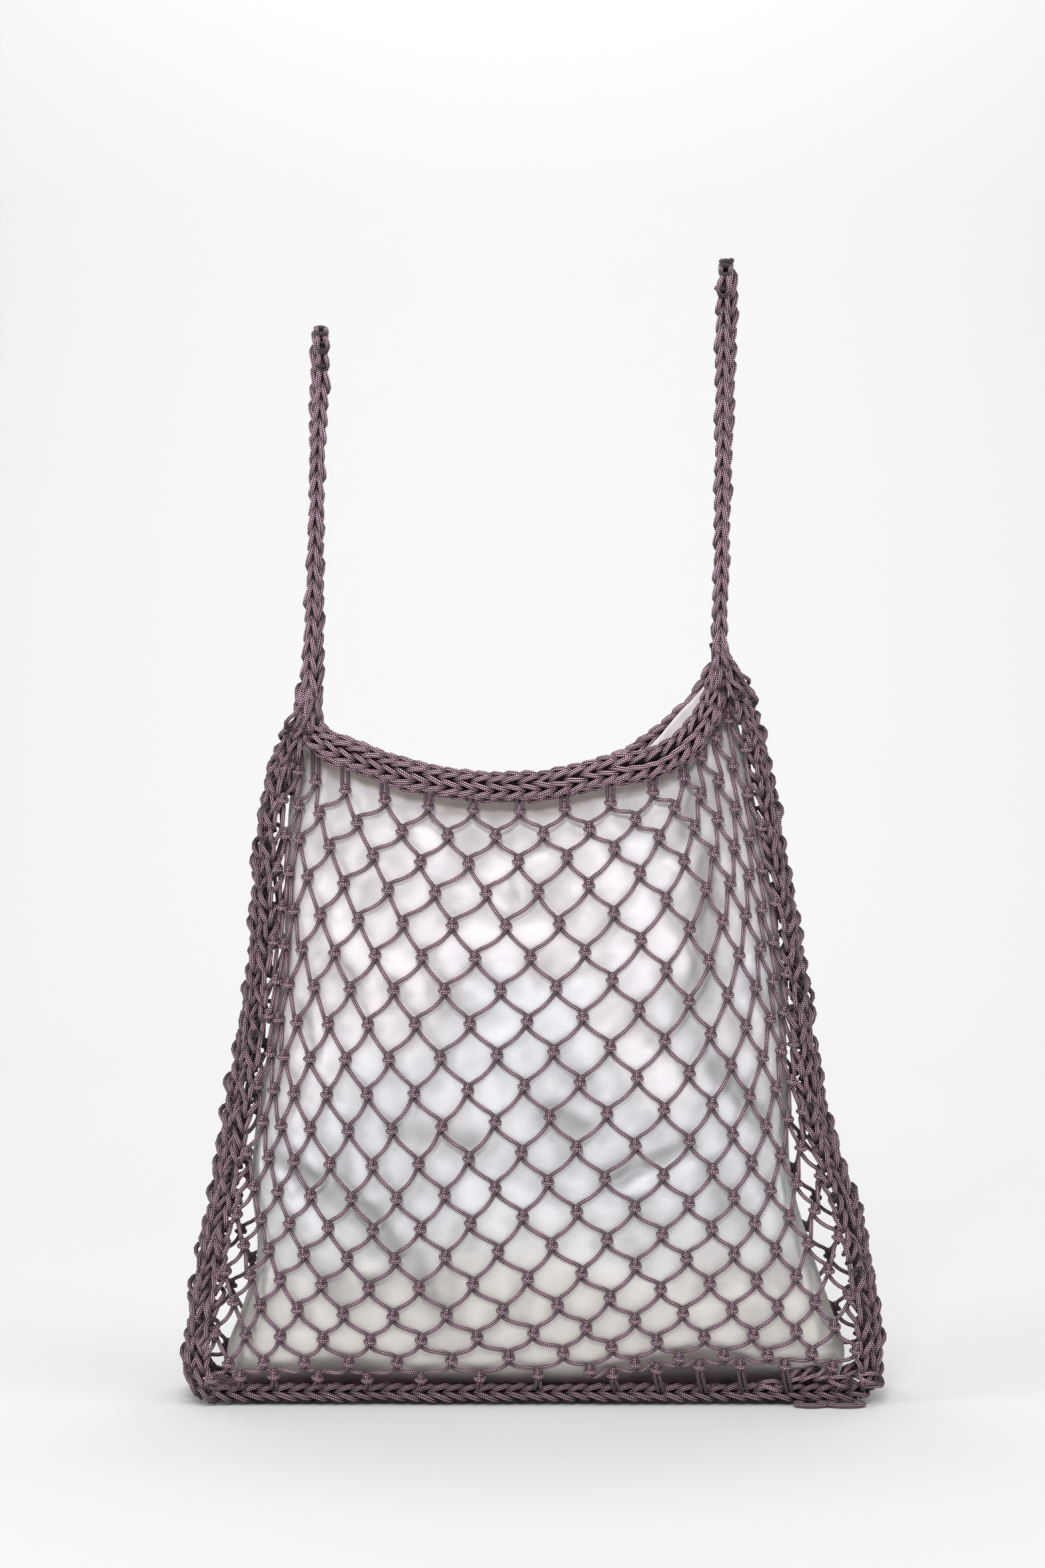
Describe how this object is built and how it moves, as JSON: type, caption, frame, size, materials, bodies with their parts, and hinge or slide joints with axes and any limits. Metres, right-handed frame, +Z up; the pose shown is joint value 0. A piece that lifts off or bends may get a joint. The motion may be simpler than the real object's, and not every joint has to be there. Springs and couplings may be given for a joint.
{
  "type": "string bag",
  "caption": "Standing vest-shaped net tote: knotted diamond net on chained mouth bands, gussets and base, with two chained strap loops and a cotton lining pouch.",
  "frame": {"origin": "middle of the base, on the surface that the bag stands on", "axes": "+Z up, -Y towards the front of the bag, +X to the right as seen from the front"},
  "size_m": [0.364, 0.0876, 0.596],
  "materials": {
    "base": "braided plum-mauve cord",
    "gusset_left": "braided plum-mauve cord",
    "gusset_right": "braided plum-mauve cord",
    "net_front": "braided plum-mauve cord",
    "net_back": "braided plum-mauve cord",
    "rim_front": "braided plum-mauve cord",
    "rim_back": "braided plum-mauve cord",
    "strap_left": "braided plum-mauve cord",
    "strap_right": "braided plum-mauve cord",
    "pouch": "white, slightly sheer cotton"
  },
  "bodies": {
    "root": {"base": "base", "gusset_left": "gusset_left", "gusset_right": "gusset_right", "net_front": "net_front", "net_back": "net_back", "rim_front": "rim_front", "rim_back": "rim_back", "strap_left": "strap_left", "strap_right": "strap_right", "pouch": "pouch"}
  },
  "joints": []
}
